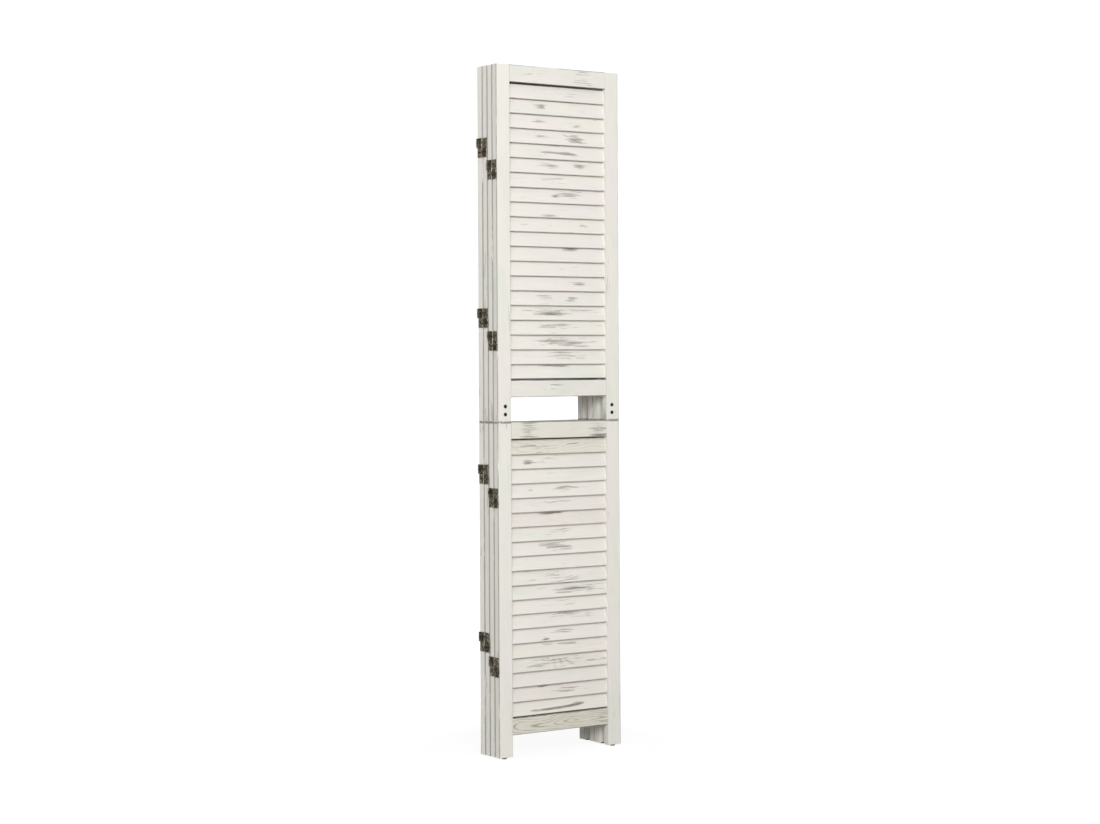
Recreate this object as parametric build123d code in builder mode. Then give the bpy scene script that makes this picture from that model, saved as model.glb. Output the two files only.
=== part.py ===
from build123d import *
from math import cos, degrees, radians, sin, tan
import os

# Four-panel louvred folding screen, folded, with its outer panels fanned open a little.
# Each panel is two framed louvre sections, one above the other, joined through their stiles.
# Neighbouring panels are joined by two-way hinges on their edges. Sizes are in millimetres.

os.makedirs("parts", exist_ok=True)

# Panel frame
PANEL_WIDTH = 350.0
STILE_HEIGHT = 1646.0
PANEL_THICKNESS = 18.0
STILE_WIDTH = 38.0
RAIL_WIDTH = 40.0
TOP_RAIL_WIDTH = 41.0
FOOT_CLEARANCE = 51.0
SEAM_HEIGHT = 795.0
HAND_SLOT_HEIGHT = 60.0
EDGE_ROUND = 1.2
END_CHAMFER = 0.5

# Mortise and tenon joints between rails and stiles
TENON_THICKNESS = 6.0
TENON_LENGTH = 20.0
TENON_SHOULDER = 5.0
MORTISE_CLEARANCE = 0.15
MORTISE_END_GAP = 0.5

# Slats, each housed at both ends in sloping slots in the stiles
SLAT_THICKNESS = 5.5
SLAT_RISE = 36.1
SLAT_PITCH = 35.0
SLAT_INSET = 1.4
SLAT_ROUND = 1.6
SLAT_TOP_GAP = 2.1
SLAT_BOTTOM_GAP = 2.0
HOUSING_DEPTH = 6.0
HOUSING_CLEARANCE = 0.15
HOUSING_END_GAP = 0.3

# Tongue on each lower stile, bolted twice inside the upper stile
TONGUE_WIDTH = 22.0
TONGUE_THICKNESS = 8.0
TONGUE_HEIGHT = 50.0
BOLT_INSET = 21.5
BOLT_SPACING = 19.0
BOLT_HEAD_RADIUS = 4.5
BOLT_HEAD_THICKNESS = 1.6
BOLT_RADIUS = 2.4
BOLT_LENGTH = 15.0
BOLT_END_GAP = 0.5
BOLT_SOCKET_RADIUS = 2.0
BOLT_SOCKET_DEPTH = 1.0
BOLT_CLEARANCE = 0.1

# Nailed glides under the stiles
GLIDE_RADIUS = 6.0
GLIDE_HEIGHT = 4.0
GLIDE_CHAMFER = 0.8
NAIL_RADIUS = 1.2
NAIL_LENGTH = 14.0
NAIL_CLEARANCE = 0.05

# Two-way hinges, four to each joint of the screen
PANEL_GAP = 2.0
HINGE_HEIGHT = 46.0
HINGE_FROM_FOOT = 215.0
HINGE_BELOW_SEAM = 179.0
HINGE_ABOVE_SEAM = 194.0
HINGE_BELOW_TOP = 250.0
HINGE_SPACING = 9.0
LEAF_THICKNESS = 1.0
STRAP_THICKNESS = 1.0
STRAP_CLEARANCE = 0.2
BARREL_CLEARANCE = 0.1
KNUCKLES = 3
KNUCKLE_GAP = 0.3
PIN_RADIUS = 0.8
PIN_CLEARANCE = 0.05
SCREW_RADIUS = 1.25
SCREW_HEAD_RADIUS = 2.1
SCREW_LENGTH = 14.0
SCREW_TIP = 2.0
SCREW_CLEARANCE = 0.05
SCREW_CROSS_WIDTH = 0.5
SCREW_CROSS_DEPTH = 0.45
ACCESS_HOLE_RADIUS = 3.2

# The outer panels stand open by this much from the closed stack
FAN_ANGLE = 3.5

# Places that follow from the sizes above
STACK_PITCH = PANEL_THICKNESS + PANEL_GAP
AXIS_OUT = LEAF_THICKNESS + STRAP_CLEARANCE + STRAP_THICKNESS / 2
BARREL_RADIUS = AXIS_OUT - BARREL_CLEARANCE
BARREL_NOTCH = BARREL_RADIUS + KNUCKLE_GAP
HINGE_HALF = HINGE_HEIGHT / 2
KNUCKLE_STEP = (HINGE_HALF + KNUCKLE_GAP / 2) / KNUCKLES
KNUCKLE_HEIGHT = KNUCKLE_STEP - KNUCKLE_GAP
HAND_SLOT_TOP = SEAM_HEIGHT + HAND_SLOT_HEIGHT
SLAT_DEPTH = PANEL_THICKNESS - 2 * SLAT_INSET
MID_DEPTH = PANEL_THICKNESS / 2

# Each rail: the stile section it joins, its underside and its width
RAILS = {
    "upper_top_rail": ("upper", STILE_HEIGHT - TOP_RAIL_WIDTH, TOP_RAIL_WIDTH),
    "upper_bottom_rail": ("upper", HAND_SLOT_TOP, RAIL_WIDTH),
    "lower_top_rail": ("lower", SEAM_HEIGHT - RAIL_WIDTH, RAIL_WIDTH),
    "lower_bottom_rail": ("lower", FOOT_CLEARANCE, RAIL_WIDTH),
}

# Lowest and highest point of each stile section, and of the slats between its rails
STILE_SPANS = {"lower": (0.0, SEAM_HEIGHT), "upper": (SEAM_HEIGHT, STILE_HEIGHT)}
SLAT_SPANS = {
    "lower": (FOOT_CLEARANCE + RAIL_WIDTH, SEAM_HEIGHT - RAIL_WIDTH),
    "upper": (HAND_SLOT_TOP + RAIL_WIDTH, STILE_HEIGHT - TOP_RAIL_WIDTH),
}

# Alternate panels are turned about, so that all slats slope alike once the screen is open
TURNED = {1: False, 2: True, 3: False, 4: True}

# Each panel's hinged edges, and whether its leaf is the near or the far one of that hinge
HINGED_EDGES = {
    1: [("left", "near")],
    2: [("left", "far"), ("right", "far")],
    3: [("right", "near"), ("left", "near")],
    4: [("left", "far")],
}

# The rear left column of hinges stands higher, so that its barrels miss the front column's
RAISED_COLUMNS = {(3, "left"), (4, "left")}


def slat_section():
    """Tilt in degrees and width of a slat that fills SLAT_DEPTH by SLAT_RISE."""
    low, high = 0.0, radians(45)
    for _ in range(60):
        tilt = (low + high) / 2
        depth = SLAT_RISE * tan(tilt) + SLAT_THICKNESS * cos(2 * tilt) / cos(tilt)
        if depth < SLAT_DEPTH:
            low = tilt
        else:
            high = tilt
    width = (SLAT_RISE - SLAT_THICKNESS * sin(tilt)) / cos(tilt)
    return degrees(tilt), width


SLAT_TILT, SLAT_WIDTH = slat_section()


def slat_levels(section):
    """Heights of the slats' middles in one section, from the bottom up."""
    low, high = SLAT_SPANS[section]
    first = low + SLAT_BOTTOM_GAP + SLAT_RISE / 2
    last = high - SLAT_TOP_GAP - SLAT_RISE / 2
    steps = round((last - first) / SLAT_PITCH)
    return [first + (last - first) * step / steps for step in range(steps + 1)]


def slat_places(panel, section):
    """Places of the slat sections on a plane across the panel, lower edge to its face side."""
    tilt = SLAT_TILT if TURNED[panel] else -SLAT_TILT
    return [Location((MID_DEPTH, level, 0), (0, 0, tilt)) for level in slat_levels(section)]


def hinge_levels(section, raised):
    """Heights of the hinges' middles on one stile section."""
    lift = HINGE_HEIGHT + HINGE_SPACING if raised else 0.0
    if section == "lower":
        levels = (HINGE_FROM_FOOT, SEAM_HEIGHT - HINGE_BELOW_SEAM)
    else:
        levels = (SEAM_HEIGHT + HINGE_ABOVE_SEAM, STILE_HEIGHT - HINGE_BELOW_TOP)
    return [level + lift for level in levels]


def hinge_places(panel, section, edge, role):
    """Hinge frames for one leaf: on its middle axis, leaf towards +Y, outwards along -X."""
    raised = (panel, edge) in RAISED_COLUMNS
    middle_behind = (role == "near") == (edge == "left")
    across = PANEL_THICKNESS + PANEL_GAP / 2 if middle_behind else -PANEL_GAP / 2
    turn = Location((0, 0, 0), (0, 0, 0 if edge == "left" else 180))
    flip = Location((0, 0, 0), (180 if role == "near" else 0, 0, 0))
    face = 0.0 if edge == "left" else PANEL_WIDTH
    levels = hinge_levels(section, raised)
    return [Location((face, across, level)) * turn * flip for level in levels]


def panel_hinge_places(panel, section=None, side=None):
    """Every hinge frame of a panel, or only those on one stile section."""
    places = []
    for edge, role in HINGED_EDGES[panel]:
        for part_section in ("lower", "upper"):
            if section in (None, part_section) and side in (None, edge):
                places += hinge_places(panel, part_section, edge, role)
    return places


def panel_place(panel):
    """Where a panel's own frame, at its front left foot, stands in the whole screen."""
    left = -(PANEL_WIDTH - STACK_PITCH * sin(radians(FAN_ANGLE))) / 2
    front = (panel - 3) * STACK_PITCH + PANEL_GAP / 2
    closed = Location((left, front, GLIDE_HEIGHT))
    if panel == 1:
        pivot = Location((left - AXIS_OUT, -STACK_PITCH, 0))
        turn = -FAN_ANGLE
    elif panel == 4:
        pivot = Location((left - AXIS_OUT, STACK_PITCH, 0))
        turn = FAN_ANGLE
    else:
        return closed
    return pivot * Location((0, 0, 0), (0, 0, turn)) * pivot.inverse() * closed


def bolt_places(panel, side):
    """Frames of a stile's two joining bolts, on the face that they go in at, +Z inwards."""
    across = BOLT_INSET if side == "left" else PANEL_WIDTH - BOLT_INSET
    depth, turn = (PANEL_THICKNESS, 90) if TURNED[panel] else (0.0, -90)
    levels = [SEAM_HEIGHT + BOLT_SPACING * count for count in (1, 2)]
    return [Location((across, depth, level), (turn, 0, 0)) for level in levels]


def glide_places():
    """Middles of the two glides, under the stiles' feet."""
    half = STILE_WIDTH / 2
    return [(half, MID_DEPTH, 0.0), (PANEL_WIDTH - half, MID_DEPTH, 0.0)]


def rail_mortise(rail, clearance=0.0):
    """Middle height and height of a rail's tenon, or of its mortise with a clearance."""
    _, underside, width = RAILS[rail]
    return underside + width / 2, width - 2 * TENON_SHOULDER + 2 * clearance


def make_stile(panel, side, section):
    """One stile section with its housings, mortises, tongue joint and screw holes."""
    low, high = STILE_SPANS[section]
    outer = 0.0 if side == "left" else PANEL_WIDTH
    inward = 1 if side == "left" else -1
    middle = outer + inward * STILE_WIDTH / 2
    inner_face = Plane.YZ.offset(outer + inward * STILE_WIDTH)
    tongue_middle = outer + inward * BOLT_INSET
    with BuildPart() as stile:
        with BuildSketch(Plane.XY.offset(low)):
            with Locations((middle, MID_DEPTH)):
                Rectangle(STILE_WIDTH, PANEL_THICKNESS)
        extrude(amount=high - low)
        fillet(stile.edges().filter_by(Axis.Z), EDGE_ROUND)
        chamfer(stile.edges().group_by(Axis.Z)[0] + stile.edges().group_by(Axis.Z)[-1], END_CHAMFER)
        with BuildSketch(inner_face):
            with Locations(*slat_places(panel, section)):
                RectangleRounded(
                    SLAT_THICKNESS + 2 * HOUSING_CLEARANCE,
                    SLAT_WIDTH + 2 * HOUSING_CLEARANCE,
                    SLAT_ROUND + HOUSING_CLEARANCE,
                )
        extrude(amount=-inward * HOUSING_DEPTH, mode=Mode.SUBTRACT)
        with BuildSketch(inner_face):
            for rail, (rail_section, _, _) in RAILS.items():
                if rail_section == section:
                    level, height = rail_mortise(rail, MORTISE_CLEARANCE)
                    with Locations((MID_DEPTH, level)):
                        Rectangle(TENON_THICKNESS + 2 * MORTISE_CLEARANCE, height)
        extrude(amount=-inward * (TENON_LENGTH + MORTISE_END_GAP), mode=Mode.SUBTRACT)
        tongue_clearance = MORTISE_CLEARANCE if section == "upper" else 0.0
        with BuildSketch(Plane.XY.offset(SEAM_HEIGHT)):
            with Locations((tongue_middle, MID_DEPTH)):
                Rectangle(
                    TONGUE_WIDTH + 2 * tongue_clearance,
                    TONGUE_THICKNESS + 2 * tongue_clearance,
                )
        if section == "upper":
            extrude(amount=TONGUE_HEIGHT + MORTISE_END_GAP, mode=Mode.SUBTRACT)
        else:
            extrude(amount=TONGUE_HEIGHT)
            with Locations(*glide_places()):
                Cylinder(
                    NAIL_RADIUS + NAIL_CLEARANCE,
                    NAIL_LENGTH + NAIL_CLEARANCE,
                    align=(Align.CENTER, Align.CENTER, Align.MIN),
                    mode=Mode.SUBTRACT,
                )
        cut_bolt_holes(bolt_places(panel, side))
        for place in panel_hinge_places(panel, section, side):
            with Locations(*[place * spot for spot in screw_spots()]):
                Cylinder(
                    SCREW_RADIUS + SCREW_CLEARANCE,
                    SCREW_LENGTH + SCREW_CLEARANCE,
                    rotation=(0, 90, 0),
                    align=(Align.CENTER, Align.CENTER, Align.MIN),
                    mode=Mode.SUBTRACT,
                )
    return stile.part


def cut_bolt_holes(places):
    """Blind holes for joining bolts, each with a seat for the head."""
    with Locations(*places):
        Cylinder(
            BOLT_RADIUS + BOLT_CLEARANCE,
            BOLT_LENGTH + BOLT_END_GAP,
            align=(Align.CENTER, Align.CENTER, Align.MIN),
            mode=Mode.SUBTRACT,
        )
        Cylinder(
            BOLT_HEAD_RADIUS + BOLT_CLEARANCE,
            BOLT_HEAD_THICKNESS,
            align=(Align.CENTER, Align.CENTER, Align.MIN),
            mode=Mode.SUBTRACT,
        )


def make_rail(rail):
    """One rail with a tenon at each end."""
    _, underside, width = RAILS[rail]
    level, tenon_height = rail_mortise(rail)
    with BuildPart() as bar:
        with BuildSketch(Plane.YZ.offset(STILE_WIDTH)):
            with Locations((MID_DEPTH, underside + width / 2)):
                Rectangle(PANEL_THICKNESS, width)
        extrude(amount=PANEL_WIDTH - 2 * STILE_WIDTH)
        fillet(bar.edges().filter_by(Axis.X), EDGE_ROUND)
        with BuildSketch(Plane.YZ.offset(STILE_WIDTH - TENON_LENGTH)):
            with Locations((MID_DEPTH, level)):
                Rectangle(TENON_THICKNESS, tenon_height)
        extrude(amount=PANEL_WIDTH - 2 * STILE_WIDTH + 2 * TENON_LENGTH)
    return bar.part


def make_slats(panel):
    """All the slats of a panel, each reaching into the stiles' housings."""
    start = STILE_WIDTH - HOUSING_DEPTH + HOUSING_END_GAP
    with BuildPart() as slats:
        for section in ("lower", "upper"):
            with BuildSketch(Plane.YZ.offset(start)):
                with Locations(*slat_places(panel, section)):
                    RectangleRounded(SLAT_THICKNESS, SLAT_WIDTH, SLAT_ROUND)
            extrude(amount=PANEL_WIDTH - 2 * start)
    return slats.part


def make_bolt():
    """Joining bolt: its head's face at the origin, its shank along +Z, a hexagon socket."""
    with BuildPart() as bolt:
        Cylinder(
            BOLT_HEAD_RADIUS,
            BOLT_HEAD_THICKNESS,
            align=(Align.CENTER, Align.CENTER, Align.MIN),
        )
        Cylinder(BOLT_RADIUS, BOLT_LENGTH, align=(Align.CENTER, Align.CENTER, Align.MIN))
        with BuildSketch(Plane.XY):
            RegularPolygon(BOLT_SOCKET_RADIUS, 6)
        extrude(amount=BOLT_SOCKET_DEPTH, mode=Mode.SUBTRACT)
    return bolt.part


def make_joining_bolts(panel):
    """The four joining bolts of a panel, heads flush with the face that they go in at."""
    with BuildPart() as bolts:
        with Locations(*bolt_places(panel, "left"), *bolt_places(panel, "right")):
            add(make_bolt())
    return bolts.part


def make_glides():
    """The two glides, each a disc under the stile's foot with its nail."""
    with BuildPart() as glide:
        Cylinder(
            GLIDE_RADIUS,
            GLIDE_HEIGHT,
            align=(Align.CENTER, Align.CENTER, Align.MAX),
        )
        chamfer(glide.edges().group_by(Axis.Z)[0], GLIDE_CHAMFER)
        Cylinder(NAIL_RADIUS, NAIL_LENGTH, align=(Align.CENTER, Align.CENTER, Align.MIN))
    with BuildPart() as glides:
        with Locations(*glide_places()):
            add(glide.part)
    return glides.part


def knuckle_rows(half):
    """Lower ends of the three knuckles in the hinge's upper (+1) or lower (-1) half."""
    rows = [KNUCKLE_GAP / 2 + KNUCKLE_STEP * row for row in range(KNUCKLES)]
    return rows if half > 0 else [-row - KNUCKLE_HEIGHT for row in rows]


def add_knuckles(across, rows, plane_out, thickness):
    """Knuckles on the axis at one place across the hinge, each with its tab to the plate."""
    inward = 1 if across == 0 else -1
    for row in rows:
        with Locations((-plane_out, across + inward * BARREL_NOTCH / 2, row)):
            Box(
                thickness,
                BARREL_NOTCH,
                KNUCKLE_HEIGHT,
                align=(Align.MAX, Align.CENTER, Align.MIN),
            )
        with Locations((-AXIS_OUT, across, row)):
            Cylinder(
                BARREL_RADIUS,
                KNUCKLE_HEIGHT,
                align=(Align.CENTER, Align.CENTER, Align.MIN),
            )


def bore_axis(across, half):
    """Pin hole through the knuckles on one axis of one half of the hinge."""
    with Locations((-AXIS_OUT, across, half * HINGE_HALF / 2)):
        Cylinder(PIN_RADIUS + PIN_CLEARANCE, HINGE_HALF, mode=Mode.SUBTRACT)


def screw_spots():
    """Places of a leaf's two screws on the edge face, one in each half of the hinge."""
    middle = STACK_PITCH / 2
    return [Location((0, middle, half * HINGE_HALF / 2)) for half in (-1, 1)]


def make_leaf():
    """Far leaf: knuckles on its outer axis above and on the middle axis below."""
    span = STACK_PITCH - 2 * BARREL_NOTCH
    with BuildPart() as leaf:
        with BuildSketch(Plane.YZ):
            with Locations((STACK_PITCH / 2, 0)):
                Rectangle(span, HINGE_HEIGHT)
        extrude(amount=-LEAF_THICKNESS)
        for across, half in ((STACK_PITCH, 1), (0, -1)):
            rows = knuckle_rows(half)
            add_knuckles(across, (rows[0], rows[2]), 0.0, LEAF_THICKNESS)
            bore_axis(across, half)
        with Locations(*screw_spots()):
            Cylinder(
                SCREW_RADIUS + SCREW_CLEARANCE,
                2 * LEAF_THICKNESS,
                rotation=(0, 90, 0),
                mode=Mode.SUBTRACT,
            )
            with Locations((-LEAF_THICKNESS, 0, 0)):
                Cone(
                    SCREW_HEAD_RADIUS + SCREW_CLEARANCE,
                    SCREW_RADIUS + SCREW_CLEARANCE,
                    SCREW_HEAD_RADIUS - SCREW_RADIUS,
                    rotation=(0, 90, 0),
                    align=(Align.CENTER, Align.CENTER, Align.MIN),
                    mode=Mode.SUBTRACT,
                )
    return leaf.part


def make_strap():
    """Upper strap, from the far leaf's outer axis to the middle axis, over the leaf's screw."""
    height = HINGE_HALF - KNUCKLE_GAP / 2
    level = (HINGE_HALF + KNUCKLE_GAP / 2) / 2
    inner_out = AXIS_OUT - STRAP_THICKNESS / 2
    with BuildPart() as strap:
        with BuildSketch(Plane.YZ.offset(-inner_out)):
            with Locations((STACK_PITCH / 2, level)):
                Rectangle(STACK_PITCH - 2 * BARREL_NOTCH, height)
            with Locations((STACK_PITCH / 2, HINGE_HALF / 2)):
                Circle(ACCESS_HOLE_RADIUS, mode=Mode.SUBTRACT)
        extrude(amount=-STRAP_THICKNESS)
        for across in (0, STACK_PITCH):
            add_knuckles(across, (knuckle_rows(1)[1],), inner_out, STRAP_THICKNESS)
            bore_axis(across, 1)
    return strap.part


def make_pins():
    """The two pins that a far leaf holds: its outer one above, its middle one below."""
    length = HINGE_HALF - KNUCKLE_GAP / 2
    with BuildPart() as pins:
        for across, half in ((STACK_PITCH, 1), (0, -1)):
            level = half * (HINGE_HALF + KNUCKLE_GAP / 2) / 2
            with Locations((-AXIS_OUT, across, level)):
                Cylinder(PIN_RADIUS, length)
    return pins.part


def make_screws():
    """The two countersunk screws of a leaf, heads flush with it, points in the stile."""
    head = SCREW_HEAD_RADIUS - SCREW_RADIUS
    cross = 2 * SCREW_RADIUS
    with BuildPart() as screw:
        with BuildSketch(Plane.XY):
            with BuildLine():
                Polyline(
                    (-LEAF_THICKNESS, 0),
                    (-LEAF_THICKNESS, SCREW_HEAD_RADIUS),
                    (head - LEAF_THICKNESS, SCREW_RADIUS),
                    (SCREW_LENGTH - SCREW_TIP, SCREW_RADIUS),
                    (SCREW_LENGTH, 0),
                    close=True,
                )
            make_face()
        revolve(axis=Axis.X)
        with Locations((-LEAF_THICKNESS, 0, 0)):
            for width, height in ((cross, SCREW_CROSS_WIDTH), (SCREW_CROSS_WIDTH, cross)):
                Box(2 * SCREW_CROSS_DEPTH, width, height, mode=Mode.SUBTRACT)
    with BuildPart() as screws:
        with Locations(*screw_spots()):
            add(screw.part)
    return screws.part


def repeat_on_hinges(panel, piece):
    """One hinge piece at every hinge of a panel."""
    with BuildPart() as group:
        with Locations(*panel_hinge_places(panel)):
            add(piece)
    return group.part


def write_piece(panel, name, piece):
    """Stand a piece in the screen, label it and write its file."""
    with BuildPart() as placed:
        with Locations(panel_place(panel)):
            add(piece)
    placed.part.label = f"panel_{panel}_{name}"
    export_step(placed.part, f"parts/{placed.part.label}.step")


def write_panel(panel):
    """Make and write every piece of one panel."""
    for section in ("upper", "lower"):
        for side in ("left", "right"):
            write_piece(panel, f"{section}_{side}_stile", make_stile(panel, side, section))
    for rail in RAILS:
        write_piece(panel, rail, make_rail(rail))
    write_piece(panel, "slats", make_slats(panel))
    write_piece(panel, "joining_bolts", make_joining_bolts(panel))
    write_piece(panel, "glides", make_glides())
    write_piece(panel, "hinge_leaves", repeat_on_hinges(panel, make_leaf()))
    write_piece(panel, "hinge_straps", repeat_on_hinges(panel, make_strap()))
    write_piece(panel, "hinge_pins", repeat_on_hinges(panel, make_pins()))
    write_piece(panel, "hinge_screws", repeat_on_hinges(panel, make_screws()))


for number in TURNED:
    write_panel(number)
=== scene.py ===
import random
from math import cos, pi, radians, sin, tan

import bpy
import numpy as np
from mathutils import Matrix, Vector


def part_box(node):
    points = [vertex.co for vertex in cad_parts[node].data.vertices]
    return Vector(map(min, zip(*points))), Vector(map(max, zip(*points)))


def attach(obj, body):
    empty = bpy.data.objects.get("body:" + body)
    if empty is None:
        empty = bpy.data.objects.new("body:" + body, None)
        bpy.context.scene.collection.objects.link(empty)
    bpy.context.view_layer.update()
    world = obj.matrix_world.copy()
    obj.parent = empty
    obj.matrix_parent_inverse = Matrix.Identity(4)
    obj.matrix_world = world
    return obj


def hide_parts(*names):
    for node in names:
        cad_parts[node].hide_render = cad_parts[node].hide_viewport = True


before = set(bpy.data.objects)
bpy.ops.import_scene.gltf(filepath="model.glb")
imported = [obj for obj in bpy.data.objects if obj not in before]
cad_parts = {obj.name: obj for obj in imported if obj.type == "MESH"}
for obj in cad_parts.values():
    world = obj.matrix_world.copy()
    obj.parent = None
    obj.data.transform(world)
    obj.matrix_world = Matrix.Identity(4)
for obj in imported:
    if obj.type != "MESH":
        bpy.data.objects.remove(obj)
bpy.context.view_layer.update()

# Sizes of the screen in metres, as in the CAD
PANEL_WIDTH = 0.350
STILE_HEIGHT = 1.646
PANEL_THICKNESS = 0.018
STILE_WIDTH = 0.038
RAIL_WIDTH = 0.040
TOP_RAIL_WIDTH = 0.041
FOOT_CLEARANCE = 0.051
SEAM_HEIGHT = 0.795
HAND_SLOT_TOP = 0.855
SLAT_THICKNESS = 0.0055
SLAT_RISE = 0.0361
SLAT_PITCH = 0.035
SLAT_INSET = 0.0014
SLAT_ROUND = 0.0016
SLAT_TOP_GAP = 0.0021
SLAT_BOTTOM_GAP = 0.0020
SLAT_START = 0.0323
SLAT_DROP = 0.0016
PITCH = 0.020
AXIS_OUT = 0.0017
GLIDE_HEIGHT = 0.004
FAN_ANGLE = radians(3.5)
LEFT = -(PANEL_WIDTH - PITCH * sin(FAN_ANGLE)) / 2
PANELS = (1, 2, 3, 4)
TURNED = {1: False, 2: True, 3: False, 4: True}
FAN_TURN = {1: -FAN_ANGLE, 2: 0.0, 3: 0.0, 4: FAN_ANGLE}


def panel_matrix(panel):
    """Where a panel's own frame, at its front left foot, stands in the row frame."""
    front = (panel - 3) * PITCH + 0.001
    closed = Matrix.Translation((LEFT, front, GLIDE_HEIGHT))
    pivot = Matrix.Translation((LEFT - AXIS_OUT, PITCH if panel > 2 else -PITCH, 0))
    return pivot @ Matrix.Rotation(FAN_TURN[panel], 4, "Z") @ pivot.inverted() @ closed


# Node trees
class Tree:
    """A material's node tree, with short ways to add and join its nodes."""

    def __init__(self, name):
        self.material = bpy.data.materials.new(name)
        self.material.use_nodes = True
        self.nodes = self.material.node_tree.nodes
        self.links = self.material.node_tree.links
        self.surface = self.nodes["Principled BSDF"]

    def put(self, socket, value):
        """Join a socket to an output, or set its value."""
        if isinstance(value, bpy.types.NodeSocket):
            self.links.new(value, socket)
        else:
            socket.default_value = value

    def add(self, kind, inputs, **settings):
        """A node with its settings and inputs."""
        node = self.nodes.new(kind)
        for key, value in settings.items():
            setattr(node, key, value)
        for key, value in inputs.items():
            self.put(node.inputs[key], value)
        return node

    def math(self, operation, *values):
        """The result of a sum on numbers or outputs."""
        node = self.add("ShaderNodeMath", {}, operation=operation)
        for socket, value in zip(node.inputs, values):
            self.put(socket, value)
        return node.outputs[0]

    def stretch(self, vector, scale, shift=(0.0, 0.0, 0.0), turn=(0.0, 0.0, 0.0)):
        """A vector that is scaled, turned and shifted."""
        inputs = {"Vector": vector, "Scale": scale, "Location": shift, "Rotation": turn}
        return self.add("ShaderNodeMapping", inputs).outputs[0]

    def noise(self, vector, detail=3.0, roughness=0.5, distortion=0.0):
        """Noise with one feature to a unit of the vector."""
        inputs = {
            "Vector": vector,
            "Scale": 1.0,
            "Detail": detail,
            "Roughness": roughness,
            "Distortion": distortion,
        }
        return self.add("ShaderNodeTexNoise", inputs).outputs[0]

    def ease(self, value, low, high, to_low=0.0, to_high=1.0):
        """A value eased from one range into another."""
        inputs = {
            "Value": value,
            "From Min": low,
            "From Max": high,
            "To Min": to_low,
            "To Max": to_high,
        }
        return self.add("ShaderNodeMapRange", inputs, interpolation_type="SMOOTHSTEP").outputs[0]

    def blend(self, factor, first, second, mode="MIX"):
        """Two colours mixed."""
        node = self.nodes.new("ShaderNodeMix")
        node.data_type = "RGBA"
        node.blend_type = mode
        self.put(node.inputs[0], factor)
        self.put(node.inputs[6], first)
        self.put(node.inputs[7], second)
        return node.outputs[2]

    def bump(self, height, distance, strength=1.0):
        """Bump the surface by a height."""
        inputs = {"Height": height, "Distance": distance, "Strength": strength}
        self.put(self.surface.inputs["Normal"], self.add("ShaderNodeBump", inputs).outputs[0])


def rgb(red, green, blue):
    """A linear colour with full alpha."""
    return (red, green, blue, 1.0)


# Whitewashed wood: grain coordinates run along, across and through the board
CREAM = rgb(0.86, 0.835, 0.765)
PINK = rgb(0.87, 0.82, 0.785)
GREEN = rgb(0.80, 0.81, 0.73)
BEIGE = rgb(0.62, 0.575, 0.455)
WORN = rgb(0.40, 0.355, 0.285)
CHAR = rgb(0.105, 0.095, 0.08)
CHAR_GREY = rgb(0.14, 0.137, 0.13)

# Noise in the wood, as features to a metre along, across and through the board
BENDS = (11, 22, 10)
FIBRES = (16, 700, 300)
STROKES = (12, 260, 100)
BREAKS = (24, 170, 60)
SWAYS = (4.5, 10, 10)
PATCHES = (8, 60, 20)
REGIONS = (4, 13, 13)
CHIP_RUNS = (6, 70, 70)
TINTS = (3.2, 11, 11)
OTHER_TINTS = (5.5, 17, 17)

# How far the grain bends, and how its growth rings sway, drift, fold back and repeat
BEND_DEPTH = 0.010
SWAY_DEPTH = 0.05
DRIFT = 0.07
FOLD = 0.022
RING_RATE = 1500.0

# Ranges in which noise turns into worn areas, strokes, chips and veins, with any limits of the result
AREA_RANGE = (0.46, 0.66)
FAINT_STROKES = (0.54, 0.59, 0.0, 0.46)
DARK_STROKES = (0.65, 0.77, 0.0, 0.42)
CHIP_RANGE = (0.37, 0.47)
VEIN_RANGE = (0.80, 0.98)
VEIN_BREAKS = (0.38, 0.55, 0.1, 0.9)
VEIN_TONES = (0.30, 0.70, 0.0, 0.75)

# How strongly the strokes follow the noise and the rings, and how they and the areas tint the wash
STROKE_SHARE = 0.91
RING_SHARE = 0.06
PLACE_SHARE = 0.85
AREA_STRENGTH = 0.13
WORN_STRENGTH = 0.86


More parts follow.
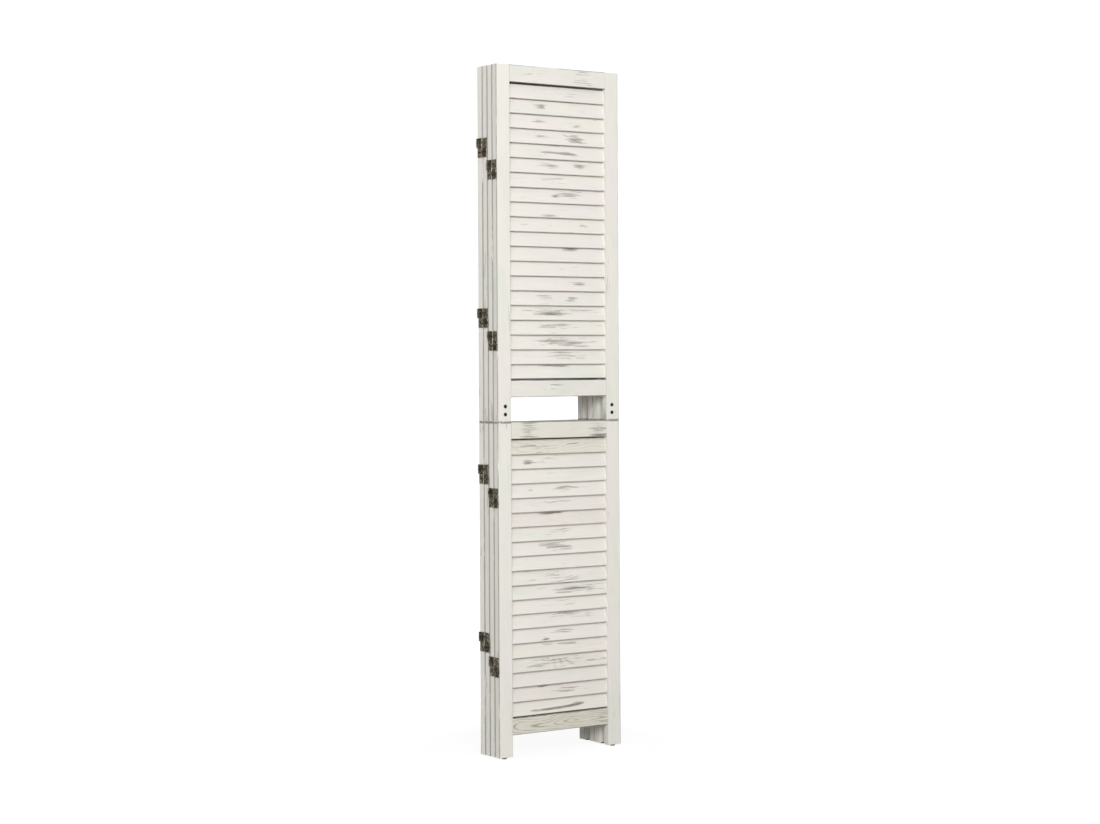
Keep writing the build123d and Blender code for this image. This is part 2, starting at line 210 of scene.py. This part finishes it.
def washed_wood(grain, tree, seed, wear, tone, edge, painted_slit_shade, blush):
    """Whitewash over grain, worn in strokes; wear, tone, edge and the painted slit shade may be outputs."""
    rng = random.Random(seed)
    shift = [rng.uniform(-40, 40) for _ in range(3)]

    def field(vector, scales, detail, roughness, distortion=0.0):
        return tree.noise(tree.stretch(vector, scales, shift), detail, roughness, distortion)

    # Grain that waves, in fibres, lines and rings
    bend = tree.math("MULTIPLY_ADD", field(grain, BENDS, 2.0, 0.5), BEND_DEPTH, -BEND_DEPTH / 2)
    sideways = tree.add("ShaderNodeCombineXYZ", {1: bend}).outputs[0]
    wavy = tree.add("ShaderNodeVectorMath", {0: grain, 1: sideways}, operation="ADD").outputs[0]
    fibre = field(wavy, FIBRES, 3.0, 0.6)
    lines = field(wavy, STROKES, 4.0, 0.62)
    broken = field(grain, BREAKS, 3.0, 0.6)
    along, across, through = tree.add("ShaderNodeSeparateXYZ", {"Vector": wavy}).outputs
    sway = tree.math("MULTIPLY", field(grain, SWAYS, 2.0, 0.5), SWAY_DEPTH)
    depth = tree.math("PINGPONG", tree.math("MULTIPLY_ADD", along, DRIFT, sway), FOLD)
    depth = tree.math("ADD", through, depth)
    square = tree.math("ADD", tree.math("MULTIPLY", across, across), tree.math("MULTIPLY", depth, depth))
    rings = tree.math("SINE", tree.math("MULTIPLY", tree.math("SQRT", square), RING_RATE))
    rings = tree.math("MULTIPLY_ADD", rings, 0.5, 0.5)

    # Where the wash is worn away, and the strokes that show there
    patch = field(grain, PATCHES, 3.0, 0.55, 0.4)
    broad = field(grain, REGIONS, 2.0, 0.5)
    where = tree.math("MULTIPLY_ADD", patch, 0.65, tree.math("MULTIPLY", broad, 0.35))
    where = tree.math("ADD", where, wear)
    area = tree.ease(where, *AREA_RANGE)
    mark = tree.math("MULTIPLY_ADD", lines, STROKE_SHARE, tree.math("MULTIPLY", rings, RING_SHARE))
    mark = tree.math("MULTIPLY_ADD", tree.math("SUBTRACT", where, 0.5), PLACE_SHARE, mark)
    worn = tree.math("ADD", tree.ease(mark, *FAINT_STROKES), tree.ease(mark, *DARK_STROKES))
    run = field(grain, CHIP_RUNS, 3.0, 0.6)
    chips = tree.math("MULTIPLY_ADD", broken, 0.35, tree.math("MULTIPLY", run, 0.65))
    worn = tree.math("MAXIMUM", worn, tree.math("MULTIPLY", tree.ease(chips, *CHIP_RANGE), edge))
    veins = tree.math("MULTIPLY", tree.ease(rings, *VEIN_RANGE), tree.ease(broken, *VEIN_BREAKS))
    worn = tree.math("MAXIMUM", worn, tree.math("MULTIPLY", veins, tree.ease(tone, *VEIN_TONES)))

    # Colours
    tint = field(grain, TINTS, 2.0, 0.5)
    other_tint = field(grain, OTHER_TINTS, 2.0, 0.5, 0.5)
    paint = tree.blend(tree.ease(tint, 0.50 - blush, 0.70 - blush), CREAM, PINK)
    paint = tree.blend(tree.ease(other_tint, 0.40 + blush, 0.62 + blush, 0.0, 0.8), paint, GREEN)
    ground = tree.math("MULTIPLY", tone, tree.math("MULTIPLY_ADD", rings, 0.35, 0.70))
    paint = tree.blend(ground, paint, BEIGE)
    dark = tree.blend(tree.ease(other_tint, 0.4, 0.6), CHAR, CHAR_GREY)
    colour = tree.blend(tree.math("MULTIPLY", area, AREA_STRENGTH), paint, WORN)
    colour = tree.blend(tree.math("MULTIPLY", worn, WORN_STRENGTH), colour, dark)
    # Painted shade: the slits beside the rails are darkened towards charcoal
    colour = tree.blend(painted_slit_shade, colour, CHAR)
    shade = tree.ease(fibre, 0.3, 0.75, 0.96, 1.02)
    grey = tree.add("ShaderNodeCombineColor", {0: shade, 1: shade, 2: shade}).outputs[0]
    colour = tree.blend(1.0, colour, grey, "MULTIPLY")
    tree.put(tree.surface.inputs["Base Color"], colour)
    tree.put(tree.surface.inputs["Roughness"], tree.ease(worn, 0.0, 0.7, 0.5, 0.75))
    tree.surface.inputs["Specular IOR Level"].default_value = 0.35
    height = tree.math("MULTIPLY_ADD", fibre, 0.5, tree.math("MULTIPLY", rings, 0.15))
    height = tree.math("SUBTRACT", height, tree.math("MULTIPLY", worn, 0.6))
    tree.bump(height, 0.0003, 0.5)
    return tree.material


# How beige each rail is, and its worn places as distance along, spread and strength
TONES = {
    "upper_top_rail": 0.08,
    "lower_top_rail": 0.28,
    "lower_bottom_rail": 0.60,
    "upper_bottom_rail": 0.08,
}
RAIL_MARKS = {
    "upper_top_rail": ((0.095, 0.040, 0.10), (0.255, 0.070, 0.17)),
    "lower_top_rail": ((0.085, 0.055, 0.27), (0.285, 0.055, 0.27)),
    "upper_bottom_rail": ((0.170, 0.040, 0.10),),
    "lower_bottom_rail": ((0.120, 0.080, 0.10), (0.290, 0.050, 0.12)),
}
# Painted shade on each rail's face beside the slit to its slats, as a share towards charcoal
SLIT_PAINTED_SHADE = {
    "upper_top_rail": 0.95,
    "lower_top_rail": 0.35,
    "upper_bottom_rail": 0.80,
    "lower_bottom_rail": 0.30,
}

# Reach of the chips from an edge, of the wear from the seam and of the painted shade beside a slit, in
# metres
EDGE_REACH = 0.0022
EDGE_FULL = 0.0003
SEAM_REACH = 0.06
SEAM_CHIPS = (0.0008, 0.0045, 0.9, 0.0)
SLIT_REACH = (0.0002, 0.0010)

# Wear where nothing is marked, beside the seam and on a stile's side faces, and how pink the wash is
STILE_WEAR = -0.185
SEAM_WEAR = -0.06
SIDE_WEAR = 0.07
INNER_CHIPS = 0.35
RAIL_WEAR = -0.17
FRAME_BLUSH = 0.05
SLAT_BLUSH = 0.11


def near_edge(tree, value, low, high):
    """One at either end of a range, easing to nothing a little inside it."""
    middle, half = (low + high) / 2, (high - low) / 2
    away = tree.math("ABSOLUTE", tree.math("ADD", value, -middle))
    return tree.ease(away, half - EDGE_REACH, half - EDGE_FULL)


def frame_wood(node, panel, upright, seed):
    """Washed wood for a stile or rail that is still its CAD solid."""
    tree = Tree(node + "_wash")
    place = panel_matrix(panel).inverted()
    row = tree.add("ShaderNodeTexCoord", {}).outputs["Object"]
    local = tree.stretch(row, (1, 1, 1), tuple(place.to_translation()), (0, 0, -FAN_TURN[panel]))
    x, y, z = tree.add("ShaderNodeSeparateXYZ", {"Vector": local}).outputs
    faces = near_edge(tree, y, 0.0, PANEL_THICKNESS)
    kind = node.split("_", 2)[2]
    if upright:
        low = 0.0 if "left" in node else PANEL_WIDTH - STILE_WIDTH
        outer = 0.0 if "left" in node else PANEL_WIDTH
        inputs = {0: z, 1: tree.math("ADD", x, -low - STILE_WIDTH / 2), 2: y}
        seam = tree.math("ABSOLUTE", tree.math("ADD", z, -SEAM_HEIGHT))
        sides = near_edge(tree, x, low, low + STILE_WIDTH)
        wear = tree.ease(seam, 0.0, SEAM_REACH, SEAM_WEAR, STILE_WEAR)
        wear = tree.math("MULTIPLY_ADD", sides, SIDE_WEAR, wear)
        off = tree.math("ABSOLUTE", tree.math("ADD", x, -outer))
        sides = tree.math("MULTIPLY", sides, tree.ease(off, 0.0, 2 * EDGE_REACH, 1.0, INNER_CHIPS))
        edge = tree.math("MULTIPLY", faces, sides)
        edge = tree.math("MAXIMUM", edge, tree.ease(seam, *SEAM_CHIPS))
        painted_slit_shade = 0.0
    else:
        low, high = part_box(node)[0].z - GLIDE_HEIGHT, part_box(node)[1].z - GLIDE_HEIGHT
        inputs = {0: x, 1: tree.math("ADD", z, -(low + high) / 2), 2: y}
        wear = RAIL_WEAR
        for middle, spread, strength in RAIL_MARKS[kind]:
            away = tree.math("ABSOLUTE", tree.math("ADD", x, -middle))
            wear = tree.math("ADD", wear, tree.ease(away, 0.0, spread, strength, 0.0))
        edge = tree.math("MULTIPLY", faces, near_edge(tree, z, low, high))
        # Painted shade on the face that meets the slit beside the slats
        inner = low if "top_rail" in node else high
        gap = tree.math("ABSOLUTE", tree.math("ADD", z, -inner))
        painted_slit_shade = tree.ease(gap, *SLIT_REACH, SLIT_PAINTED_SHADE[kind], 0.0)
    grain = tree.add("ShaderNodeCombineXYZ", inputs).outputs[0]
    return washed_wood(grain, tree, seed, wear, TONES.get(kind, 0.0), edge, painted_slit_shade, FRAME_BLUSH)


def slat_wood(name, seed):
    """Washed wood for slats that carry grain, wear, tone and painted slit shade on edges as attributes."""
    tree = Tree(name)
    grain = tree.add("ShaderNodeAttribute", {}, attribute_name="grain").outputs["Vector"]
    wear, tone, painted_slit_shade = (
        tree.add("ShaderNodeAttribute", {}, attribute_name=attribute).outputs["Fac"]
        for attribute in ("wear", "tone", "painted_slit_shade")
    )
    return washed_wood(grain, tree, seed, wear, tone, 0.0, painted_slit_shade, SLAT_BLUSH)


# Metal and plastic, with noise as features to a metre
TARNISH = (160, 160, 160)
GRIT = (1400, 1400, 1400)
SCRATCHES = (900, 900, 60)
SCUFFS = (240, 240, 240)
MOULD_GRAIN = (2200, 2200, 2200)


def worn_metal(name, dark, light, rough, seed, metallic=0.85):
    """Plated metal with cloudy tarnish, rubbed spots and fine scratches."""
    tree = Tree(name)
    row = tree.add("ShaderNodeTexCoord", {}).outputs["Object"]
    shift = (seed * 3.1, seed * 1.7, seed * 2.3)
    cloud = tree.noise(tree.stretch(row, TARNISH, shift), 4.0, 0.6)
    grit = tree.noise(tree.stretch(row, GRIT, shift), 2.0, 0.5)
    scratch = tree.noise(tree.stretch(row, SCRATCHES, shift), 2.0, 0.5)
    rub = tree.ease(tree.math("MULTIPLY_ADD", grit, 0.35, tree.math("MULTIPLY", cloud, 0.65)), 0.45, 0.62)
    colour = tree.blend(rub, dark, light)
    tree.put(tree.surface.inputs["Base Color"], colour)
    tree.put(tree.surface.inputs["Roughness"], tree.ease(scratch, 0.3, 0.7, rough - 0.06, rough + 0.1))
    tree.surface.inputs["Metallic"].default_value = metallic
    tree.bump(tree.math("MULTIPLY_ADD", grit, 0.5, scratch), 0.00006, 0.6)
    return tree.material


def moulded_plastic(name, dark, light, seed):
    """Matt plastic with a fine moulded grain and scuffs."""
    tree = Tree(name)
    row = tree.add("ShaderNodeTexCoord", {}).outputs["Object"]
    shift = (seed * 2.1, seed * 1.3, 0.0)
    cloud = tree.noise(tree.stretch(row, SCUFFS, shift), 3.0, 0.6)
    grain = tree.noise(tree.stretch(row, MOULD_GRAIN, shift), 2.0, 0.5)
    tree.put(tree.surface.inputs["Base Color"], tree.blend(tree.ease(cloud, 0.35, 0.65), dark, light))
    tree.put(tree.surface.inputs["Roughness"], tree.ease(cloud, 0.3, 0.7, 0.5, 0.68))
    tree.bump(grain, 0.00005, 0.6)
    return tree.material


# Slats: steps along and over a flat side on the front and other panels, steps round a corner,
# usual bow and twist, wear with its spread and the marks' share, and the painted shade at the slits
FRONT_STEPS = (40, 12)
OTHER_STEPS = (18, 5)
CORNER_STEPS = 6
BOW = 0.00012
TWIST = 0.0025
SLAT_WEAR = -0.185
SLAT_WEAR_SPREAD = 0.010
MARK_WEAR = 0.255
UPPER_TOP_SLIT = 0.9
LOWER_TOP_SLIT = 0.4
UPPER_BOTTOM_SLIT = 0.8
SLIT_SHARPNESS = 1.6


def slat_section():
    """Tilt and width of a slat that fills its depth and rise."""
    depth = PANEL_THICKNESS - 2 * SLAT_INSET
    low, high = 0.0, radians(45)
    for _ in range(60):
        tilt = (low + high) / 2
        filled = SLAT_RISE * tan(tilt) + SLAT_THICKNESS * cos(2 * tilt) / cos(tilt)
        low, high = (tilt, high) if filled < depth else (low, tilt)
    return tilt, (SLAT_RISE - SLAT_THICKNESS * sin(tilt)) / cos(tilt)


def slat_levels():
    """Heights of the slats' middles above the foot, and each section's lowest and highest index."""
    levels, ends = [], []
    spans = (
        (FOOT_CLEARANCE + RAIL_WIDTH, SEAM_HEIGHT - RAIL_WIDTH),
        (HAND_SLOT_TOP + RAIL_WIDTH, STILE_HEIGHT - TOP_RAIL_WIDTH),
    )
    for low, high in spans:
        first = low + SLAT_BOTTOM_GAP + SLAT_RISE / 2
        last = high - SLAT_TOP_GAP - SLAT_RISE / 2
        steps = round((last - first) / SLAT_PITCH)
        ends.append((len(levels), len(levels) + steps))
        levels += [first + (last - first) * step / steps for step in range(steps + 1)]
    return levels, ends


def slat_outline(width, flat_steps):
    """Section points and normals of a slat, as through and across pairs, with rounded edges."""
    half = (SLAT_THICKNESS / 2 - SLAT_ROUND, width / 2 - SLAT_ROUND)
    points, normals = [], []
    for quarter, (side, edge) in enumerate(((1, 1), (-1, 1), (-1, -1), (1, -1))):
        for step in range(CORNER_STEPS + 1):
            angle = pi / 2 * (quarter + step / CORNER_STEPS)
            normal = (cos(angle), sin(angle))
            normals.append(normal)
            through = side * half[0] + SLAT_ROUND * normal[0]
            across = edge * half[1] + SLAT_ROUND * normal[1]
            points.append((through, across))
        if side == -edge:
            for step in range(1, flat_steps):
                share = 1 - 2 * step / flat_steps
                normals.append((float(side), 0.0))
                points.append((side * SLAT_THICKNESS / 2, edge * half[1] * share))
    return np.array(points), np.array(normals)


# Worn places on the front panel's slats, counted from the bottom: middle and spread as shares of
# the length, height and reach as shares of half the width, and strength
FRONT_MARKS = {
    0: ((0.24, 0.06, -0.50, 0.16, 1.6), (0.36, 0.09, -0.48, 0.17, 2.2), (0.50, 0.09, -0.42, 0.18, 2.3),
        (0.62, 0.08, -0.30, 0.20, 2.3), (0.70, 0.04, -0.15, 0.16, 1.9)),
    1: ((0.58, 0.22, 0.0, 0.85, 1.25), (0.33, 0.05, 0.75, 0.20, 1.6)),
    2: ((0.45, 0.20, 0.0, 0.60, 0.45),),
    3: ((0.50, 0.45, 0.0, 1.00, 1.15), (0.55, 0.20, 0.2, 0.40, 0.4)),
    4: ((0.38, 0.07, 0.5, 0.35, 1.3), (0.62, 0.15, 0.45, 0.40, 1.2), (0.35, 0.06, -0.6, 0.30, 0.9)),
    5: ((0.36, 0.035, -0.7, 0.30, 1.9), (0.55, 0.14, 0.3, 0.50, 0.8)),
    6: ((0.42, 0.10, -0.1, 0.50, 1.0), (0.60, 0.12, 0.4, 0.40, 0.8), (0.80, 0.06, 0.1, 0.30, 0.8)),
    7: ((0.60, 0.22, 0.0, 0.70, 1.05),),
    8: ((0.58, 0.24, 0.0, 0.85, 1.35),),
    9: ((0.50, 0.24, 0.0, 0.80, 1.15),),
    10: ((0.50, 0.22, 0.0, 0.70, 0.7),),
    11: ((0.46, 0.16, 0.1, 0.50, 1.5), (0.60, 0.10, -0.3, 0.40, 1.1)),
    12: ((0.50, 0.18, 0.0, 0.60, 0.95),),
    13: ((0.43, 0.12, 0.70, 0.24, 1.8), (0.55, 0.20, -0.2, 0.50, 0.6)),
    14: ((0.50, 0.22, 0.0, 0.70, 0.6),),
    15: ((0.22, 0.045, -0.05, 0.20, 2.0), (0.55, 0.17, 0.1, 0.60, 0.9)),
    16: ((0.40, 0.20, 0.0, 0.60, 0.3),),
    17: ((0.18, 0.055, -0.05, 0.40, 1.9), (0.31, 0.10, -0.2, 0.22, 1.5), (0.50, 0.20, 0.5, 0.40, 0.7)),
    18: ((0.30, 0.30, 0.0, 0.90, 0.70), (0.10, 0.10, 0.0, 0.80, 0.3)),
    19: ((0.50, 0.19, 0.72, 0.24, 1.9),),
    20: ((0.48, 0.22, 0.0, 0.80, 1.2),),
    21: ((0.50, 0.32, 0.0, 0.90, 1.2), (0.45, 0.15, 0.3, 0.30, 0.5)),
    22: ((0.44, 0.20, 0.0, 0.80, 1.2),),
    23: ((0.50, 0.42, 0.0, 0.95, 1.2), (0.45, 0.12, -0.2, 0.30, 0.6)),
    24: ((0.38, 0.11, 0.0, 0.70, 1.2), (0.64, 0.07, 0.0, 0.60, 1.2)),
    25: ((0.75, 0.07, 0.0, 0.25, 1.6), (0.45, 0.20, 0.0, 0.60, 0.5)),
    26: ((0.56, 0.09, 0.0, 0.18, 1.4), (0.68, 0.07, 0.25, 0.18, 1.4)),
    27: ((0.64, 0.11, 0.75, 0.24, 1.9), (0.45, 0.20, 0.0, 0.50, 0.5)),
    28: ((0.50, 0.20, 0.0, 0.60, 0.3),),
    29: ((0.43, 0.08, 0.0, 0.60, 1.0), (0.76, 0.07, 0.0, 0.60, 1.0)),
    30: ((0.38, 0.15, -0.75, 0.28, 1.4), (0.50, 0.20, 0.3, 0.40, 0.5)),
    31: ((0.60, 0.20, 0.2, 0.60, 1.05), (0.48, 0.03, -0.1, 0.20, 1.3)),
    32: ((0.50, 0.24, 0.0, 0.70, 1.0),),
    33: ((0.44, 0.09, 0.1, 0.60, 1.2), (0.73, 0.07, 0.2, 0.50, 1.7)),
    34: ((0.40, 0.12, -0.05, 0.30, 1.6), (0.60, 0.12, -0.15, 0.25, 1.9)),
    35: ((0.68, 0.10, 0.0, 0.50, 1.7), (0.35, 0.10, 0.0, 0.40, 0.8)),
    36: ((0.33, 0.10, 0.2, 0.50, 1.1), (0.70, 0.10, -0.2, 0.50, 1.2)),
    37: ((0.35, 0.05, 0.1, 0.35, 1.5), (0.75, 0.06, -0.2, 0.35, 1.1)),
    38: ((0.66, 0.12, 0.0, 0.70, 0.85),),
}

# How beige each of the front panel's slats is, counted from the bottom
FRONT_TONES = {18: 0.40, 17: 0.12, 14: 0.12, 13: 0.20, 4: 0.12, 3: 0.20, 2: 0.12, 1: 0.20, 0: 0.12}
USUAL_TONE = 0.03


def slat_marks(panel, index, rng):
    """A slat's worn places: as seen on the front panel, and by chance on the others."""
    if panel == 1:
        return FRONT_MARKS[index]
    middle, height = rng.uniform(0.3, 0.7), rng.uniform(-0.4, 0.4)
    spread, reach = rng.uniform(0.12, 0.3), rng.uniform(0.5, 0.9)
    return ((middle, spread, height, reach, max(0.0, rng.normal(0.95, 0.35))),)


def local_wear(marks, share, height):
    """Wear at each place along a slat and round its section, from its worn places."""
    local = np.zeros((len(share), len(height)))
    for middle, spread, level, reach, strength in marks:
        lengthways = np.exp(-(((share - middle) / spread) ** 2))
        crossways = np.exp(-(((height - level) / reach) ** 2))
        local += strength * lengthways[:, None] * crossways[None]
    return local


def slit_shade(outline, width, index, ends):
    """How much painted shade a slat's section points get, on an edge that faces a slit beside a rail."""
    (_, lower_top), (upper_bottom, upper_top) = ends
    inside = width / 2 - np.abs(outline[:, 1])
    edge = np.clip((SLAT_ROUND - inside) * SLIT_SHARPNESS / SLAT_ROUND, 0, 1)
    top = UPPER_TOP_SLIT * (index == upper_top) + LOWER_TOP_SLIT * (index == lower_top)
    bottom = UPPER_BOTTOM_SLIT * (index == upper_bottom)
    return edge * (top * (outline[:, 1] > 0) + bottom * (outline[:, 1] < 0))


def slat_faces(steps, count):
    """A slat's faces: quads round each step of its length, then its two ends."""
    rows, columns = np.meshgrid(np.arange(steps), np.arange(count), indexing="ij")
    first, second = rows * count + columns, rows * count + (columns + 1) % count
    quads = np.stack([first, second, second + count, first + count], -1).reshape(-1, 4)
    start = list(reversed(range(count)))
    end = [steps * count + column for column in range(count)]
    return quads.tolist() + [start, end]


def make_slats(panel, material):
    """A panel's slats as one mesh, each a little bowed, with grain and wear of its own."""
    rng = np.random.default_rng(100 + panel)
    steps, flat_steps = FRONT_STEPS if panel == 1 else OTHER_STEPS
    tilt, width = slat_section()
    outline, outline_normals = slat_outline(width, flat_steps)
    share = np.linspace(0, 1, steps + 1)
    shape = (steps + 1, len(outline))
    along = SLAT_START + share * (PANEL_WIDTH - 2 * SLAT_START)
    lengths = np.broadcast_to(along[:, None], shape)
    section = np.broadcast_to(outline[None], (*shape, 2))
    lean = tilt if TURNED[panel] else -tilt
    slat = slat_faces(steps, len(outline))
    points, normals, grain, wear, tones, painted_slit_shade, faces = [], [], [], [], [], [], []
    levels, ends = slat_levels()
    for index, level in enumerate(levels):
        if index == ends[1][0] and panel != 1:
            level -= SLAT_DROP
        bow, twist = rng.normal(0, BOW), rng.normal(0, TWIST)
        offset = rng.uniform(-8, 8, 3)
        angle = lean + twist * (share - 0.5)
        turn = np.array([[np.cos(angle), -np.sin(angle)], [np.sin(angle), np.cos(angle)]])
        bowed = outline[None] + np.sin(pi * share)[:, None, None] * np.array([bow, 0.0])
        flat = np.einsum("ijn,nkj->nki", turn, bowed)
        flat_normals = np.einsum("ijn,kj->nki", turn, outline_normals)
        points.append(np.stack([lengths, flat[..., 0] + PANEL_THICKNESS / 2, flat[..., 1] + level], -1))
        normals.append(np.stack([np.zeros(shape), flat_normals[..., 0], flat_normals[..., 1]], -1))
        grain.append(np.stack([lengths, section[..., 1], section[..., 0]], -1) + offset)
        local = local_wear(slat_marks(panel, index, rng), share, outline[:, 1] * 2 / width)
        wear.append(rng.normal(SLAT_WEAR, SLAT_WEAR_SPREAD) + MARK_WEAR * local)
        tone = FRONT_TONES.get(index, USUAL_TONE) if panel == 1 else min(0.5, abs(rng.normal(0, 0.15)))
        tones.append(np.full(shape, tone))
        # Painted shade on the edges that face the slits beside the rails
        painted_slit_shade.append(np.broadcast_to(slit_shade(outline, width, index, ends), shape))
        start = index * shape[0] * shape[1]
        faces += [[start + corner for corner in face] for face in slat]
    mesh = bpy.data.meshes.new(f"panel_{panel}_louvres")
    place = np.array(panel_matrix(panel))
    points = np.array(points).reshape(-1, 3) @ place[:3, :3].T + place[:3, 3]
    normals = np.array(normals).reshape(-1, 3) @ place[:3, :3].T
    mesh.from_pydata(points.tolist(), [], faces)
    mesh.attributes.new("grain", "FLOAT_VECTOR", "POINT").data.foreach_set("vector", np.array(grain).ravel())
    for name, values in (("wear", wear), ("tone", tones), ("painted_slit_shade", painted_slit_shade)):
        mesh.attributes.new(name, "FLOAT", "POINT").data.foreach_set("value", np.array(values).ravel())
    mesh.update()
    mesh.normals_split_custom_set_from_vertices(normals.tolist())
    mesh.materials.append(material)
    slats = bpy.data.objects.new(mesh.name, mesh)
    bpy.context.scene.collection.objects.link(slats)
    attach(slats, f"panel_{panel}")
    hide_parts(f"panel_{panel}_slats")


# Metal colours as dark and light pairs
BRONZE = (rgb(0.15, 0.13, 0.095), rgb(0.62, 0.56, 0.43))
STRAP = (rgb(0.055, 0.048, 0.034), rgb(0.32, 0.285, 0.21))
# Pins much lighter than the leaves: a painted highlight along the hinge barrels
PIN_PAINTED_HIGHLIGHT = (rgb(0.40, 0.36, 0.28), rgb(0.78, 0.72, 0.58))
# Near-black screw heads: painted shade standing in for the dark screw holes
SCREW_PAINTED_SHADE = (rgb(0.008, 0.008, 0.007), rgb(0.03, 0.027, 0.023))
STEEL = (rgb(0.05, 0.045, 0.04), rgb(0.12, 0.11, 0.10))
GREY = (rgb(0.20, 0.20, 0.19), rgb(0.30, 0.29, 0.28))


def dress(node, material):
    """Give a CAD node a material."""
    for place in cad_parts[node].material_slots:
        place.link = "OBJECT"
        place.material = material


for panel in PANELS:
    make_slats(panel, slat_wood(f"slat_wash_{panel}", 30 + panel))
    for index, section in enumerate(("upper", "lower")):
        for side in ("left", "right"):
            node = f"panel_{panel}_{section}_{side}_stile"
            dress(node, frame_wood(node, panel, True, panel * 10 + index * 2 + (side == "left")))
        for row in ("top", "bottom"):
            node = f"panel_{panel}_{section}_{row}_rail"
            dress(node, frame_wood(node, panel, False, panel * 20 + index * 2 + (row == "top")))
    dress(f"panel_{panel}_hinge_leaves", worn_metal(f"leaf_{panel}", *BRONZE, 0.42, panel))
    dress(f"panel_{panel}_hinge_straps", worn_metal(f"strap_{panel}", *STRAP, 0.42, panel + 5))
    dress(f"panel_{panel}_hinge_pins", worn_metal(f"pin_{panel}", *PIN_PAINTED_HIGHLIGHT, 0.35, panel + 9))
    dress(f"panel_{panel}_hinge_screws", worn_metal(f"screw_{panel}", *SCREW_PAINTED_SHADE, 0.5, panel + 13))
    dress(f"panel_{panel}_joining_bolts", worn_metal(f"bolt_{panel}", *STEEL, 0.45, panel + 17))
    dress(f"panel_{panel}_glides", moulded_plastic(f"glide_{panel}", *GREY, panel))


# Lamps, each with its place, target, size and watts, and the light from all round
AMBIENT = 0.333
LAMPS = (
    ("key", (-2.5, -4.2, 2.6), (0, 0, 1.2), 2.2, 151.0),
    ("left", (-4.0, -2.4, 2.6), (0, 0, 1.2), 2.2, 50.0),
    ("top", (0.0, -0.8, 4.2), (0, 0, 0), 2.6, 8.0),
)

# Floor: size, grain, lightness, the glow that the camera sees and where it takes over
FLOOR_SIZE = 80
FLOOR_GRAIN = (40, 40, 40)
FLOOR_LIGHTNESS = (0.61, 0.63)
GLOW = 1.16
GLOW_RANGE = (0.25, 0.9, 0.78, 1.0)
BACKDROP = 1.05

# Camera, as fitted to the photograph: place, turn, roll, lens and sensor in millimetres, and rise
CAMERA_PLACE = (-3.0417, -4.1289, 0.9415)
CAMERA_TURN = -36.45
CAMERA_ROLL = -0.305
LENS = 69.04
SENSOR = 36.0
RISE = -0.0452


def make_floor():
    """A pale floor that keeps the shadow and turns white away from the screen."""
    tree = Tree("floor_pale")
    row = tree.add("ShaderNodeTexCoord", {}).outputs["Object"]
    grain = tree.noise(tree.stretch(row, FLOOR_GRAIN), 3.0, 0.5)
    value = tree.ease(grain, 0.3, 0.7, *FLOOR_LIGHTNESS)
    tint = tree.add("ShaderNodeCombineColor", {0: value, 1: value, 2: value}).outputs[0]
    tree.put(tree.surface.inputs["Base Color"], tint)
    tree.surface.inputs["Roughness"].default_value = 0.9
    tree.surface.inputs["Specular IOR Level"].default_value = 0.1
    reach = tree.add("ShaderNodeVectorMath", {0: row}, operation="LENGTH").outputs["Value"]
    far = tree.ease(reach, *GLOW_RANGE)
    seen = tree.add("ShaderNodeLightPath", {}).outputs["Is Camera Ray"]
    glow = tree.add("ShaderNodeEmission", {"Color": rgb(1, 1, 1), "Strength": GLOW}).outputs[0]
    inputs = {0: tree.math("MULTIPLY", far, seen), 1: tree.surface.outputs[0], 2: glow}
    mixed = tree.add("ShaderNodeMixShader", inputs).outputs[0]
    tree.put(tree.nodes["Material Output"].inputs["Surface"], mixed)
    bpy.ops.mesh.primitive_plane_add(size=FLOOR_SIZE, location=(0, 0, 0))
    floor = bpy.context.object
    floor.name = "studio_floor"
    floor.data.materials.append(tree.material)


def make_world(ambient):
    """White behind the screen, and a softer light from all round."""
    world = bpy.data.worlds.new("studio")
    world.use_nodes = True
    bpy.context.scene.world = world
    nodes, links = world.node_tree.nodes, world.node_tree.links
    back = nodes["Background"]
    back.inputs["Color"].default_value = rgb(1, 1, 1)
    path = nodes.new("ShaderNodeLightPath")
    strength = nodes.new("ShaderNodeMapRange")
    strength.inputs["To Min"].default_value = ambient
    strength.inputs["To Max"].default_value = BACKDROP
    links.new(path.outputs["Is Camera Ray"], strength.inputs["Value"])
    links.new(strength.outputs[0], back.inputs["Strength"])


def make_lamp(name, place, target, size, power):
    """A soft square lamp that faces a target."""
    data = bpy.data.lights.new(name, "AREA")
    data.shape = "SQUARE"
    data.size = size
    data.energy = power
    lamp = bpy.data.objects.new(name, data)
    lamp.location = place
    lamp.rotation_euler = (Vector(target) - Vector(place)).to_track_quat("-Z", "Y").to_euler()
    bpy.context.scene.collection.objects.link(lamp)


def make_camera():
    """The camera at the photograph's place, level, with a slight roll and a rise of the view."""
    data = bpy.data.cameras.new("camera")
    data.sensor_width = SENSOR
    data.lens = LENS
    data.shift_y = RISE
    camera = bpy.data.objects.new("camera", data)
    turn = Matrix.Rotation(radians(CAMERA_TURN), 4, "Z") @ Matrix.Rotation(radians(90), 4, "X")
    roll = Matrix.Rotation(radians(CAMERA_ROLL), 4, "Z")
    camera.matrix_world = Matrix.Translation(CAMERA_PLACE) @ turn @ roll
    bpy.context.scene.collection.objects.link(camera)
    bpy.context.scene.camera = camera


make_floor()
make_world(AMBIENT)
for lamp in LAMPS:
    make_lamp(*lamp)
make_camera()
bpy.context.scene.view_settings.view_transform = "Standard"
